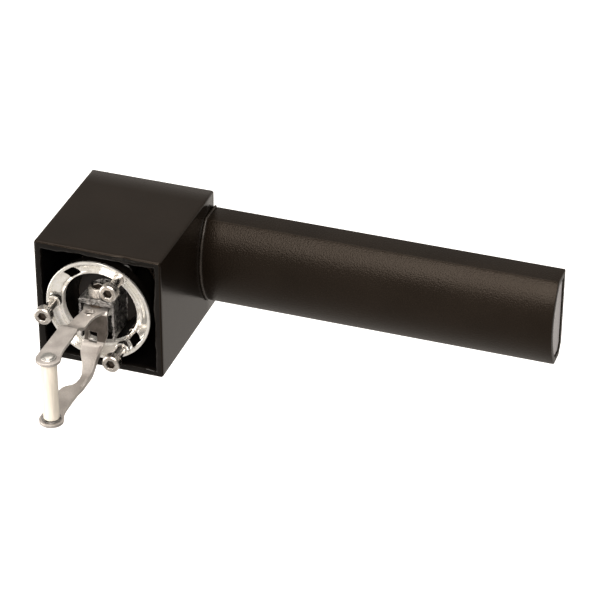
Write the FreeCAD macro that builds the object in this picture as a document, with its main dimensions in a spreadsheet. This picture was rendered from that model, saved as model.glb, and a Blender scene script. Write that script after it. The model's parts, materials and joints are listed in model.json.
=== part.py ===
import FreeCAD, Part
import os
import Sketcher

# Side-grip rotary handle of a knife blade switch, in millimetres.
# Origin: on the handle's turning axis, in the panel face of the fixed flange ring.
# +X runs along the grip, +Z is up, and -Y points through the panel into the cubicle.

SIZES = (
    # square head
    ("head_width", 40.0, "outside width and height of the head"),
    ("head_back", 46.0, "outside of the head's closed back wall"),
    ("lip_gap", 0.5, "running gap between the head's lip and the panel"),
    ("shell_wall", 2.0, "wall of the head"),
    # fixed flange ring
    ("ring_radius", 16.6, "outside radius of the flange"),
    ("rim_radius", 15.6, "inside radius of the flat outer rim"),
    ("rim_step", 0.6, "step from the rim down into the dish"),
    ("dish_radius", 12.5, "inside radius of the dish"),
    ("dish_depth", 2.2, "deepest point of the dish"),
    ("dish_curve", 3.4, "radius of the dish's hollow section"),
    ("lip_depth", 1.6, "front edge of the raised lip round the bore"),
    ("bore_radius", 11.8, "open bore round the hub"),
    ("flange_back", 5.0, "back face of the flange"),
    ("collar_radius", 13.4, "outside radius of the collar behind the flange"),
    ("web_front", 9.5, "front face of the web that carries the bush"),
    ("web_back", 14.5, "back face of the ring"),
    ("post_radius", 2.4, "screw posts on the back of the flange"),
    ("post_back", 9.0, "back end of the screw posts"),
    ("window_circle", 13.9, "radius at which the two windows sit"),
    ("window_angle", 127.0, "direction of the upper window from +X"),
    ("window_low_angle", -38.0, "direction of the lower window from +X"),
    ("window_long", 3.6, "window size round the ring"),
    ("window_deep", 2.8, "window size across the ring"),
    # screws through the panel
    ("screw_circle", 14.2, "radius of the circle of panel screws"),
    ("thread_radius", 1.5, "M3 thread"),
    ("cap_radius", 2.75, "M3 cap screw head"),
    ("cap_length", 3.0, "length of an M3 cap screw head"),
    ("cap_socket", 2.5, "hexagon key size of an M3 cap screw"),
    ("cap_socket_depth", 1.6, "depth of the M3 key socket"),
    ("cap_face", 8.6, "distance of the cap heads' faces in front of the ring"),
    ("screw_tip", 8.4, "end of the panel screws behind the ring face"),
    ("dowel_circle", 12.0, "radius at which the locating dowel sits"),
    ("dowel_angle", -24.0, "direction of the dowel from +X"),
    ("dowel_radius", 0.75, "free end of the locating dowel"),
    ("dowel_seat_radius", 0.95, "pressed-in end of the dowel"),
    ("dowel_front", 3.4, "how far the dowel stands out of the ring face"),
    ("dowel_back", 6.0, "inner end of the dowel"),
    # bearing and stop
    ("bush_bore", 6.5, "bore radius of the bearing bush"),
    ("bush_radius", 8.0, "outside radius of the bush"),
    ("bush_flange_radius", 9.6, "radius of the bush's collar"),
    ("bush_flange_front", 8.7, "front face of the bush's collar"),
    ("wave_radius", 9.2, "outside radius of the friction washer"),
    ("wave_thickness", 0.5, "thickness of the friction washer"),
    ("thrust_radius", 8.9, "outside radius of the thrust washer"),
    ("thrust_front", 14.7, "front face of the thrust washer"),
    ("plate_front", 15.4, "front face of the stop plate"),
    ("plate_back", 17.4, "back face of the stop plate"),
    ("plate_radius", 13.6, "outside radius of the stop plate"),
    ("stop_circle", 10.7, "radius at which the stop pin runs"),
    ("stop_angle", 225.0, "direction of the stop pin from +X"),
    ("stop_radius", 1.25, "stop pin"),
    ("stop_front", 10.5, "inner end of the stop pin"),
    ("stop_back", 16.9, "free end of the stop pin"),
    ("slot_radius", 1.55, "half width of the stop plate's slot"),
    ("throw_angle", 60.0, "travel of the handle"),
    # cast hub
    ("hub_left", 5.2, "width of the hub block on the side away from the grip"),
    ("hub_right", 6.3, "width of the hub block on the grip's side"),
    ("hub_front", 2.5, "how far the hub stands out of the ring face"),
    ("hub_back", 8.0, "back of the hub block"),
    ("hub_top", 5.3, "top of the hub block"),
    ("hub_bottom", 9.9, "depth of the hub block below the axis"),
    ("hub_top_round", 1.2, "rounding of the upper corners"),
    ("hub_low_round", 3.4, "rounding of the lower corners"),
    ("bar_bottom", 3.3, "underside of the hub's top bar"),
    ("hub_wall", 1.0, "thickness of the hub's side walls"),
    ("recess_back", 4.0, "back of the recess"),
    ("journal_radius", 6.45, "hub journal in the bush"),
    ("tail_half", 4.5, "half the width of the square tail"),
    ("tail_back", 27.0, "end of the square tail"),
    # hub bolt and boss
    ("bolt_radius", 2.5, "M5 thread"),
    ("bolt_clear", 2.6, "clearance hole radius for M5"),
    ("bolt_cap_radius", 4.25, "M5 cap screw head"),
    ("bolt_cap_length", 5.0, "length of an M5 cap screw head"),
    ("bolt_socket", 4.0, "hexagon key size of an M5 cap screw"),
    ("bolt_socket_depth", 2.5, "depth of the M5 key socket"),
    ("hub_bolt_front", 4.2, "face of the hub bolt's head"),
    ("hub_bolt_tip", 36.0, "end of the hub bolt"),
    ("counterbore_radius", 4.45, "counterbore for the hub bolt"),
    ("washer_thickness", 1.0, "washers of the M5 screws"),
    ("boss_radius", 10.5, "boss welded inside the head"),
    ("boss_foot_radius", 12.5, "foot of the boss"),
    ("boss_foot_length", 1.6, "thickness of the foot"),
    ("boss_socket_back", 27.2, "bottom of the boss's square socket"),
    ("boss_thread_back", 40.0, "bottom of the boss's thread"),
    # yoke
    ("sheet", 1.0, "thickness of the yoke's sheet steel"),
    ("pivot_back", 0.8, "distance of the pivot screw behind the ring face"),
    ("pivot_hole", 1.55, "pivot hole in the yoke"),
    ("flange_reach", 2.4, "distance from the pivot to the back of the yoke's flange"),
    ("pivot_tip", -2.7, "lower end of the pivot screw"),
    ("nut_width", 5.0, "width of the M3 nut across its flats"),
    ("nut_top", 1.2, "top of the pivot nut"),
    ("nut_length", 2.4, "height of the pivot nut"),
    ("spacer_radius", 3.0, "spacer between hub and yoke"),
    ("spacer_bottom", 2.4, "underside of the spacer"),
    ("neck_top", 2.3, "upper face of the yoke's neck"),
    ("eye_top", 6.0, "upper face of the upper eye"),
    ("web_front_face", 3.2, "how far the yoke's web stands out of the ring face"),
    ("low_plate", 15.1, "upper face of the lower eye below the axis"),
    ("eye_radius", 3.7, "radius of both eyes"),
    ("pin_reach", 36.0, "distance of the cross pin in front of the ring face"),
    ("neck_hole", 1.3, "burred hole in the neck"),
    ("neck_hole_reach", 4.8, "distance of that hole in front of the ring face"),
    ("rib_side", 1.6, "inner side of the lower arm's rib"),
    # cross pin and roller
    ("pin_radius", 1.5, "cross pin"),
    ("pin_head_radius", 2.3, "riveted heads of the cross pin"),
    ("pin_dome", 0.9, "height of the upper riveted head"),
    ("pin_tail", 0.6, "height of the lower riveted head"),
    ("roller_bore", 1.55, "bore of the roller sleeve"),
    ("roller_radius", 2.4, "roller sleeve"),
    ("roller_gap", 0.1, "end play of the roller at each washer"),
    ("pin_washer_radius", 2.9, "washers at the ends of the roller"),
    ("pin_washer_thickness", 0.4, "thickness of those washers"),
    # grip
    ("grip_end", 130.3, "outer end of the grip"),
    ("joint_thickness", 0.8, "joint plate between head and grip"),
    ("joint_margin", 0.4, "how far the joint plate stands past the grip"),
    ("grip_wall", 2.0, "wall of the grip"),
    ("grip_crease", 38.0, "front edge of the grip's flat top"),
    ("grip_top", 14.4, "top of the grip"),
    ("grip_low", 14.5, "depth of the grip below the axis"),
    ("grip_curve", 21.5, "radius of the grip's bulging front"),
    ("grip_heel", 43.5, "rear end of the grip's flat underside"),
    ("grip_heel_height", 11.0, "lower end of the grip's flat back, below the axis"),
    ("plug_end", 34.0, "outer end of the base plug"),
    ("grip_bolt_reach", 38.8, "distance of the grip bolts behind the ring face"),
    ("grip_bolt_half", 6.5, "half the spacing of the grip bolts"),
    ("grip_bolt_tip", 32.5, "end of the grip bolts"),
    ("grip_washer_radius", 4.7, "washers of the grip bolts"),
    ("cap_inset", 0.3, "depth of the end cap's face inside the rim"),
    ("cap_plate", 2.2, "thickness of the end cap's plate"),
    ("cap_gap", 0.35, "gap round the end cap's plate"),
    ("spigot_length", 9.0, "length of the end cap's spigot"),
)

PANEL = "XZ_Plane"
LEVEL = "XY_Plane"
SIDE = "YZ_Plane"

doc = FreeCAD.newDocument("SwitchHandle")
sheet = doc.addObject("Spreadsheet::Sheet", "Sizes")
for row, (alias, value, note) in enumerate(SIZES, start=1):
    sheet.set(f"A{row}", note)
    sheet.set(f"B{row}", str(value))
    sheet.setAlias(f"B{row}", alias)
doc.recompute()
NAMES = {alias for alias, value, note in SIZES}


def bound(expression):
    """Turns the bare aliases of an expression into references to the sheet."""
    words = []
    word = ""
    for letter in str(expression) + " ":
        if letter.isalnum() or letter in "_.":
            word += letter
        else:
            words.append(f"Sizes.{word}" if word in NAMES else word)
            words.append(letter)
            word = ""
    return "".join(words).strip()


def size(expression):
    """The present value of an expression, for a sketch's first drawing."""
    return float(sheet.evalExpression(bound(expression)))


def negative(expression):
    return f"-({expression})"


# ---------------------------------------------------------------- sketches


def hold(sketch, constraint, expression):
    """Adds a constraint and binds its value to the sheet."""
    index = sketch.addConstraint(constraint)
    sketch.setExpression(f"Constraints[{index}]", bound(expression))


def hold_point(sketch, edge, end, across, up):
    hold(sketch, Sketcher.Constraint("DistanceX", -1, 1, edge, end, size(across)), across)
    hold(sketch, Sketcher.Constraint("DistanceY", -1, 1, edge, end, size(up)), up)


def arc_between(start, finish, radius, turn):
    """The shorter arc from start to finish, and whether it runs anticlockwise."""
    chord = finish - start
    rise = max(radius**2 - (chord.Length / 2) ** 2, 0) ** 0.5
    left = FreeCAD.Vector(-chord.y, chord.x, 0).normalize()
    centre = (start + finish) / 2 + left * rise * turn
    ends = (start, finish) if turn > 0 else (finish, start)
    circle = Part.Circle(centre, FreeCAD.Vector(0, 0, 1), radius)
    first, last = (circle.parameter(point) for point in ends)
    return Part.ArcOfCircle(circle, first, last)


def loop(*corners):
    """A closed outline. A corner is (across, up) or, where an arc leads to the next
    corner, (across, up, radius, turn) with turn 1 for anticlockwise, -1 for clockwise."""

    def draw(sketch):
        points = [FreeCAD.Vector(size(corner[0]), size(corner[1]), 0) for corner in corners]
        ends = []
        for index, corner in enumerate(corners):
            start = points[index]
            finish = points[(index + 1) % len(points)]
            if len(corner) == 2:
                edge = sketch.addGeometry(Part.LineSegment(start, finish))
                ends.append((edge, 1, 2))
            else:
                radius, turn = corner[2:]
                edge = sketch.addGeometry(arc_between(start, finish, size(radius), turn))
                hold(sketch, Sketcher.Constraint("Radius", edge, size(radius)), radius)
                ends.append((edge, 1, 2) if turn > 0 else (edge, 2, 1))
        for index, (edge, start, finish) in enumerate(ends):
            hold_point(sketch, edge, start, *corners[index][:2])
            after, after_start, after_finish = ends[(index + 1) % len(ends)]
            sketch.addConstraint(Sketcher.Constraint("Coincident", edge, finish, after, after_start))

    return draw


def circle(across, up, radius):
    def draw(sketch):
        centre = FreeCAD.Vector(size(across), size(up), 0)
        edge = sketch.addGeometry(Part.Circle(centre, FreeCAD.Vector(0, 0, 1), size(radius)))
        hold_point(sketch, edge, 3, across, up)
        hold(sketch, Sketcher.Constraint("Radius", edge, size(radius)), radius)

    return draw


def rectangle(left, right, low, high):
    return loop((left, low), (right, low), (right, high), (left, high))


def hexagon(across, up, width):
    """A hexagon with flats above and below, for key sockets and nuts."""
    half = f"({width}) / 2"
    corner = f"({width}) / sqrt(3)"
    side = f"({width}) / 2 / sqrt(3)"
    return loop(
        (f"{across} + {corner}", up),
        (f"{across} + {side}", f"{up} + {half}"),
        (f"{across} - {side}", f"{up} + {half}"),
        (f"{across} - {corner}", up),
        (f"{across} - {side}", f"{up} - {half}"),
        (f"{across} + {side}", f"{up} - {half}"),
    )


# ---------------------------------------------------------------- features


def new_body(label):
    body = doc.addObject("PartDesign::Body", label)
    body.Label = label
    return body


def new_sketch(body, plane, start):
    sketch = body.newObject("Sketcher::SketchObject", "Sketch")
    planes = {feature.Role: feature for feature in body.Origin.OriginFeatures}
    sketch.AttachmentSupport = [(planes[plane], "")]
    sketch.MapMode = "FlatFace"
    offset = negative(start) if plane == PANEL else start
    sketch.setExpression("AttachmentOffset.Base.z", bound(offset))
    return sketch


def extrude(kind, body, plane, start, end, *outlines):
    """Adds or cuts a prism between two distances along the plane's row axis."""
    sketch = new_sketch(body, plane, start)
    for outline in outlines:
        outline(sketch)
    feature = body.newObject(f"PartDesign::{kind}", kind)
    feature.Profile = sketch
    feature.setExpression("Length", bound(f"({end}) - ({start})"))
    feature.Reversed = (plane == PANEL) == (kind == "Pad")
    doc.recompute()
    return feature


def pad(body, plane, start, end, *outlines):
    return extrude("Pad", body, plane, start, end, *outlines)


def pocket(body, plane, start, end, *outlines):
    before = body.Shape.Volume
    feature = extrude("Pocket", body, plane, start, end, *outlines)
    if body.Shape.Volume >= before:
        raise RuntimeError(f"{feature.Name} of {body.Label} cuts nothing")
    return feature


def revolve(body, plane, *corners):
    """Turns a profile of (radius, height) corners about the sketch's upright axis."""
    sketch = new_sketch(body, plane, "0")
    loop(*corners)(sketch)
    feature = body.newObject("PartDesign::Revolution", "Revolution")
    feature.Profile = sketch
    feature.ReferenceAxis = (sketch, ["V_Axis"])
    feature.Angle = 360
    doc.recompute()
    return feature


def place(body, **offsets):
    """Binds a body's position along the named axes to the sheet."""
    for axis, expression in offsets.items():
        body.setExpression(f"Placement.Base.{axis}", bound(expression))
    return body


# ---------------------------------------------------------------- outlines shared by pieces

SCREW_PLACES = (
    ("screw_circle / 2", "screw_circle * sqrt(3) / 2"),
    ("-screw_circle", "0"),
    ("screw_circle / 2", "-screw_circle * sqrt(3) / 2"),
)
GRIP_BOLT_PLACES = (
    ("grip_bolt_reach", "grip_bolt_half"),
    ("grip_bolt_reach", "-grip_bolt_half"),
)
GRIP_ROOT = "head_width / 2 + joint_thickness"


def grip_section(inset):
    """The grip's section, seen along -X: flat top and back, bulging front, bevelled heel.

    The front arc keeps its centre when the section is inset, so the wall is even."""
    curve = f"(grip_curve - ({inset}))"
    low = f"(grip_low - ({inset}))"
    top = f"(grip_top - ({inset}))"
    middle = "((grip_top - grip_low) / 2)"
    centre = f"(grip_crease + sqrt(grip_curve ^ 2 - (grip_top - {middle}) ^ 2))"
    crease = f"{centre} - sqrt({curve} ^ 2 - ({top} - {middle}) ^ 2)"
    toe = f"{centre} - sqrt({curve} ^ 2 - ({low} + {middle}) ^ 2)"
    back = f"head_back - ({inset})"
    return loop(
        (crease, top, curve, 1),
        (toe, f"-{low}"),
        (f"grip_heel - ({inset}) / 2", f"-{low}"),
        (back, f"-grip_heel_height + ({inset}) / 2"),
        (back, top),
    )


def polar(radius, angle):
    return f"({radius}) * cos({angle})", f"({radius}) * sin({angle})"


# ---------------------------------------------------------------- head and boss


def head_shell():
    """Square head: five flat walls, open towards the panel."""
    body = new_body("head_shell")
    half = "head_width / 2"
    inside = "head_width / 2 - shell_wall"
    pad(body, PANEL, "lip_gap", "head_back", rectangle(f"-{half}", half, f"-{half}", half))
    hollow = rectangle(negative(inside), inside, negative(inside), inside)
    pocket(body, PANEL, "lip_gap", "head_back - shell_wall", hollow)
    holes = [circle(across, up, "bolt_clear") for across, up in GRIP_BOLT_PLACES]
    pocket(body, SIDE, inside, half, *holes)
    return body


def mounting_boss():
    """Round boss on the head's back wall, with a square socket for the hub's tail."""
    body = new_body("mounting_boss")
    wall = "head_back - shell_wall"
    pad(body, PANEL, "plate_back", wall, circle("0", "0", "boss_radius"))
    pad(body, PANEL, f"{wall} - boss_foot_length", wall, circle("0", "0", "boss_foot_radius"))
    socket = rectangle("-tail_half", "tail_half", "-tail_half", "tail_half")
    pocket(body, PANEL, "plate_back", "boss_socket_back", socket)
    pocket(body, PANEL, "boss_socket_back", "boss_thread_back", circle("0", "0", "bolt_radius"))
    return body


# ---------------------------------------------------------------- fixed flange ring


def window(angle):
    """A rectangular window with two sides along the ring's radius."""
    corners = []
    for out, along in ((-1, -1), (1, -1), (1, 1), (-1, 1)):
        reach = f"(window_circle + {out} * window_deep / 2)"
        swing = f"({along} * window_long / 2)"
        across = f"{reach} * cos({angle}) - {swing} * sin({angle})"
        up = f"{reach} * sin({angle}) + {swing} * cos({angle})"
        corners.append((across, up))
    return loop(*corners)


def flange_ring():
    """Chromed die-cast ring: rim, hollow dish, lip, open bore and a web for the bush."""
    body = new_body("flange_ring")
    revolve(
        body,
        LEVEL,
        ("ring_radius", "0"),
        ("ring_radius", "flange_back"),
        ("collar_radius", "flange_back"),
        ("collar_radius", "web_back"),
        ("bush_radius", "web_back"),
        ("bush_radius", "web_front"),
        ("bore_radius", "web_front"),
        ("bore_radius", "lip_depth"),
        ("dish_radius", "lip_depth"),
        ("dish_radius", "dish_depth", "dish_curve", -1),
        ("rim_radius", "rim_step"),
        ("rim_radius", "0"),
    )
    posts = [circle(across, up, "post_radius") for across, up in SCREW_PLACES]
    pad(body, PANEL, "flange_back", "post_back", *posts)
    threads = [circle(across, up, "thread_radius") for across, up in SCREW_PLACES]
    pocket(body, PANEL, "0", "post_back", *threads)
    pocket(body, PANEL, "0", "post_back", window("window_angle"), window("window_low_angle"))
    dowel_place = polar("dowel_circle", "dowel_angle")
    pocket(body, PANEL, "0", "dowel_back", circle(*dowel_place, "dowel_seat_radius"))
    stop_place = polar("stop_circle", "stop_angle")
    pocket(body, PANEL, "stop_front", "web_back", circle(*stop_place, "stop_radius"))
    return body


def bearing_bush():
    """Flanged bush pressed into the ring's web."""
    body = new_body("bearing_bush")
    revolve(
        body,
        LEVEL,
        ("bush_bore", "bush_flange_front"),
        ("bush_flange_radius", "bush_flange_front"),
        ("bush_flange_radius", "web_front"),
        ("bush_radius", "web_front"),
        ("bush_radius", "web_back"),
        ("bush_bore", "web_back"),
    )
    return body


def cap_screws(label, plane, places, seat, face, tip, radius, cap, key, key_depth):
    """Socket cap screws of one size: heads from face to seat, threads from seat to tip."""
    body = new_body(label)
    pad(body, plane, face, seat, *[circle(across, up, cap) for across, up in places])
    pad(body, plane, seat, tip, *[circle(across, up, radius) for across, up in places])
    sockets = [hexagon(across, up, key) for across, up in places]
    pocket(body, plane, face, f"{face} + {key_depth}", *sockets)
    return body


def panel_screws():
    """Three M3 cap screws that clamp the panel between their heads and the ring."""
    return cap_screws(
        "panel_screws",
        PANEL,
        SCREW_PLACES,
        "cap_length - cap_face",
        "-cap_face",
        "screw_tip",
        "thread_radius",
        "cap_radius",
        "cap_socket",
        "cap_socket_depth",
    )


def locating_dowel():
    """Dowel that keeps the ring from turning in the panel."""
    body = new_body("locating_dowel")
    place_of_dowel = polar("dowel_circle", "dowel_angle")
    pad(body, PANEL, "0", "dowel_back", circle(*place_of_dowel, "dowel_seat_radius"))
    pad(body, PANEL, "-dowel_front", "0", circle(*place_of_dowel, "dowel_radius"))
    return body


def stop_pin():
    """Pin in the ring's back that runs in the stop plate's slot."""
    body = new_body("stop_pin")
    place_of_pin = polar("stop_circle", "stop_angle")
    pad(body, PANEL, "stop_front", "stop_back", circle(*place_of_pin, "stop_radius"))
    return body


# ---------------------------------------------------------------- turning parts on the axis


def drive_hub():
    """Cast hub: recessed block in front, journal in the bush, square tail in the boss."""
    body = new_body("drive_hub")
    top = "hub_top"
    low = "hub_bottom"
    pad(
        body,
        PANEL,
        "-hub_front",
        "hub_back",
        loop(
            ("hub_right - hub_low_round", f"-{low}", "hub_low_round", 1),
            ("hub_right", f"-{low} + hub_low_round"),
            ("hub_right", f"{top} - hub_top_round", "hub_top_round", 1),
            ("hub_right - hub_top_round", top),
            ("-hub_left + hub_top_round", top, "hub_top_round", 1),
            ("-hub_left", f"{top} - hub_top_round"),
            ("-hub_left", f"-{low} + hub_low_round", "hub_low_round", 1),
            ("-hub_left + hub_low_round", f"-{low}"),
        ),
    )
    recess = rectangle("-hub_left + hub_wall", "hub_right - hub_wall", "-hub_bottom - 1", "bar_bottom")
    pocket(body, PANEL, "-hub_front", "recess_back", recess)
    pad(body, PANEL, "hub_back", "plate_front", circle("0", "0", "journal_radius"))
    tail = rectangle("-tail_half", "tail_half", "-tail_half", "tail_half")
    pad(body, PANEL, "plate_front", "tail_back", tail)
    seat = "hub_bolt_front + bolt_cap_length + washer_thickness"
    pocket(body, PANEL, "recess_back", seat, circle("0", "0", "counterbore_radius"))
    pocket(body, PANEL, seat, "tail_back", circle("0", "0", "bolt_clear"))
    pocket(body, LEVEL, "bar_bottom", "hub_top", circle("0", "pivot_back", "thread_radius"))
    return body


def flat_washer(label, plane, start, end, bore, radius, places=(("0", "0"),)):
    body = new_body(label)
    rings = [circle(across, up, edge) for across, up in places for edge in (bore, radius)]
    pad(body, plane, start, end, *rings)
    return body


def friction_washer():
    """Spring washer between the hub block and the bush."""
    end = "hub_back + wave_thickness"
    return flat_washer("friction_washer", PANEL, "hub_back", end, "bush_bore", "wave_radius")


def thrust_washer():
    """Washer behind the ring, round the hub's journal."""
    return flat_washer(
        "thrust_washer", PANEL, "thrust_front", "plate_front", "bush_bore", "thrust_radius"
    )


def slot_tip(angle, side):
    """The outermost point of the slot's round end, on its centre circle's tangent."""
    across = f"stop_circle * cos({angle}) - {side} * slot_radius * sin({angle})"
    up = f"stop_circle * sin({angle}) + {side} * slot_radius * cos({angle})"
    return across, up


def stop_plate():
    """Plate keyed on the hub's tail, with the curved slot that limits the throw."""
    body = new_body("stop_plate")
    square = rectangle("-tail_half", "tail_half", "-tail_half", "tail_half")
    pad(body, PANEL, "plate_front", "plate_back", circle("0", "0", "plate_radius"), square)
    first = "stop_angle"
    last = "(stop_angle + throw_angle)"
    inner = "(stop_circle - slot_radius)"
    outer = "(stop_circle + slot_radius)"
    # each long side and each round end is drawn as two arcs
    middle = "(stop_angle + throw_angle / 2)"
    slot = loop(
        (*polar(outer, first), outer, 1),
        (*polar(outer, middle), outer, 1),
        (*polar(outer, last), "slot_radius", 1),
        (*slot_tip(last, 1), "slot_radius", 1),
        (*polar(inner, last), inner, -1),
        (*polar(inner, middle), inner, -1),
        (*polar(inner, first), "slot_radius", 1),
        (*slot_tip(first, -1), "slot_radius", 1),
    )
    pocket(body, PANEL, "plate_front", "plate_back", slot)
    return body


def hub_bolt():
    """M5 cap screw along the axis: it draws the hub's tail into the boss."""
    return cap_screws(
        "hub_bolt",
        PANEL,
        (("0", "0"),),
        "hub_bolt_front + bolt_cap_length",
        "hub_bolt_front",
        "hub_bolt_tip",
        "bolt_radius",
        "bolt_cap_radius",
        "bolt_socket",
        "bolt_socket_depth",
    )


def hub_bolt_washer():
    start = "hub_bolt_front + bolt_cap_length"
    end = f"{start} + washer_thickness"
    return flat_washer("hub_bolt_washer", PANEL, start, end, "bolt_clear", "bolt_cap_radius")


# ---------------------------------------------------------------- yoke and its pivot


def pivot_screw():
    """Upright M3 cap screw through the hub's top bar, on which the yoke swings."""
    body = new_body("pivot_screw")
    top = "hub_top + cap_length"
    centre = ("0", "pivot_back")
    pad(body, LEVEL, "pivot_tip", "hub_top", circle(*centre, "thread_radius"))
    pad(body, LEVEL, "hub_top", top, circle(*centre, "cap_radius"))
    socket = hexagon(*centre, "cap_socket")
    pocket(body, LEVEL, f"{top} - cap_socket_depth", top, socket)
    return body


def pivot_nut():
    body = new_body("pivot_nut")
    outline = hexagon("0", "pivot_back", "nut_width")
    hole = circle("0", "pivot_back", "thread_radius")
    pad(body, LEVEL, "nut_top - nut_length", "nut_top", outline, hole)
    return body


def pivot_spacer():
    """Washer that fills the gap between the hub's top bar and the yoke."""
    return flat_washer(
        "pivot_spacer",
        LEVEL,
        "spacer_bottom",
        "bar_bottom",
        "pivot_hole",
        "spacer_radius",
        (("0", "pivot_back"),),
    )


# Outlines of the bent sheet. Plans give (across, behind the ring face) seen from above,
# side outlines give (behind the ring face, up), the web gives (across, up).
RAMP_FOOT, RAMP_HEAD = "-12.6", "-19.6"
SHEET_FIELD = "9"
EYE_OUTLINE = (
    ("-eye_radius", "-pin_reach", "eye_radius", 1),
    ("0", "-pin_reach - eye_radius", "eye_radius", 1),
    ("eye_radius", "-pin_reach"),
)
UPPER_PLAN = (
    ("-2.6", "pivot_back + flange_reach"),
    ("-4", "pivot_back"),
    ("-3.6", "-2"),
    ("-2.9", "-3.6"),
    ("-3.5", "-8"),
    ("-3.9", RAMP_FOOT),
    ("-3.6", "-22"),
    *EYE_OUTLINE,
    ("2.4", "-31"),
    ("2.4", "-21"),
    ("1.3", "-17"),
    ("1.4", "-8"),
    ("2.8", "-5"),
    ("4.2", "-web_front_face"),
    ("4.2", "pivot_back"),
    ("2.6", "pivot_back + flange_reach"),
)
LOWER_PLAN = (
    ("-4", "-1"),
    ("-4", "-4.6"),
    ("-2.5", "-8"),
    ("-1", "-11.2"),
    ("-0.5", "-14.5"),
    ("-1", "-17.6"),
    ("-2.9", "-19.2"),
    ("-3.8", "-21.6"),
    *EYE_OUTLINE,
    ("2.3", "-31.5"),
    ("2", "-23"),
    ("2.6", "-20.4"),
    ("2.6", "-1"),
)
# upper and lower face of the lower arm, from the web's foot forward to the plate
ARM_FACE = (("-3.4", "-10.4"), ("-4.2", "-11"), ("-7", "-11.9"), ("-9", "-13.2"), ("-10.8", "-14.5"))
ARM_UNDERSIDE = (("-10.3", "-15.6"), ("-8.3", "-14"), ("-6.6", "-12.9"), ("-3.6", "-12"), ("-2.5", "-11"))
# upper edge of the rib that stiffens the lower arm on its right
RIB_EDGE = (("-3.4", "-9.9"), ("-5", "-10.2"), ("-7.6", "-10.9"), ("-9.8", "-12.3"), ("-12", "-13.8"))
RIB_END = "-18.5"
WEB_OUTLINE = (
    ("-3", "-8.6"),
    ("-4", "-10.4"),
    ("2.6", "-10.4"),
    ("2.6", "-9.4"),
    ("3.6", "-8.2"),
    ("4.2", "-6.6"),
    ("4.2", "neck_top - sheet / 2"),
    ("-3", "neck_top - sheet / 2"),
)
WEB_WINDOW = ("-1.8", "0.9", "-9.2", "-5.4")


def trim_to_plan(body, low, high, plan):
    """Cuts a strip of sheet, between two heights, down to its outline seen from above."""
    field = rectangle(f"-{SHEET_FIELD}", SHEET_FIELD, f"-pin_reach - {SHEET_FIELD}", SHEET_FIELD)
    pocket(body, LEVEL, low, high, field, loop(*plan))


def sheet_strip(body, *corners):
    """Full-width strip of bent sheet from its outline seen from the side."""
    pad(body, SIDE, f"-{SHEET_FIELD}", SHEET_FIELD, loop(*corners))


def yoke():
    """Bent sheet-steel yoke: pivot flange and web at the hub, two arms, two eyes."""
    body = new_body("yoke")
    far = "-pin_reach - eye_radius - 1"
    flange_end = "pivot_back + flange_reach"
    # upper arm: level neck, ramp, then the plate with the eye
    sheet_strip(
        body,
        (flange_end, "neck_top - sheet"),
        (flange_end, "neck_top"),
        (RAMP_FOOT, "neck_top"),
        (RAMP_HEAD, "eye_top"),
        (far, "eye_top"),
        (far, "eye_top - sheet"),
        (f"{RAMP_HEAD} - sheet / 4", "eye_top - sheet"),
        (f"{RAMP_FOOT} - sheet / 4", "neck_top - sheet"),
    )
    trim_to_plan(body, "0", "eye_top + sheet", UPPER_PLAN)
    # lower arm: curved forward from the web's foot, then the plate with the eye
    plate_start = f"{ARM_FACE[-1][0]} - sheet"
    sheet_strip(
        body,
        ("sheet - web_front_face", WEB_OUTLINE[1][1]),
        ("-web_front_face", WEB_OUTLINE[1][1]),
        *ARM_FACE[1:],
        (plate_start, "-low_plate"),
        (far, "-low_plate"),
        (far, "-low_plate - sheet"),
        (plate_start, "-low_plate - sheet"),
        *ARM_UNDERSIDE,
    )
    trim_to_plan(body, "-low_plate - sheet * 2", "-sheet * 5", LOWER_PLAN)
    # web with its window, standing across the hub's recess
    window_in_web = rectangle(*WEB_WINDOW)
    pad(body, PANEL, "-web_front_face", "sheet - web_front_face", loop(*WEB_OUTLINE), window_in_web)
    # rib on the right of the lower arm
    pad(
        body,
        SIDE,
        "rib_side",
        "rib_side + sheet",
        loop(*RIB_EDGE, (RIB_END, "-low_plate"), (RIB_END, "-low_plate - sheet / 2"), *ARM_UNDERSIDE),
    )
    eyes = circle("0", "-pin_reach", "pin_radius")
    pocket(body, LEVEL, "-low_plate - sheet", "eye_top", eyes)
    pivot = circle("0", "pivot_back", "pivot_hole")
    neck = circle("-0.6", "-neck_hole_reach", "neck_hole")
    pocket(body, LEVEL, "neck_top - sheet", "neck_top", pivot, neck)
    return body


def cross_pin():
    """Pin riveted into both eyes: domed head above, low rivet head below."""
    body = new_body("cross_pin")
    dome = "((pin_head_radius ^ 2 + pin_dome ^ 2) / 2 / pin_dome)"
    under = "-low_plate - sheet"
    revolve(
        body,
        PANEL,
        ("0", f"{under} - pin_tail"),
        ("pin_head_radius - 0.4", f"{under} - pin_tail"),
        ("pin_head_radius", under),
        ("pin_radius", under),
        ("pin_radius", "eye_top"),
        ("pin_head_radius", "eye_top", dome, 1),
        ("0", "eye_top + pin_dome"),
    )
    place(body, y="-pin_reach")
    return body


def pin_washers():
    """Two thin washers between the roller and the eyes."""
    body = new_body("pin_washers")
    rings = [circle("0", "0", radius) for radius in ("roller_bore", "pin_washer_radius")]
    pad(body, LEVEL, "-low_plate", "pin_washer_thickness - low_plate", *rings)
    under = "eye_top - sheet"
    pad(body, LEVEL, f"{under} - pin_washer_thickness", under, *rings)
    place(body, y="-pin_reach")
    return body


def roller_sleeve():
    """Ground sleeve that turns on the cross pin."""
    low = "-low_plate + pin_washer_thickness + roller_gap"
    high = "eye_top - sheet - pin_washer_thickness - roller_gap"
    body = flat_washer("roller_sleeve", LEVEL, low, high, "roller_bore", "roller_radius")
    place(body, y="-pin_reach")
    return body


# ---------------------------------------------------------------- grip


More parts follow.
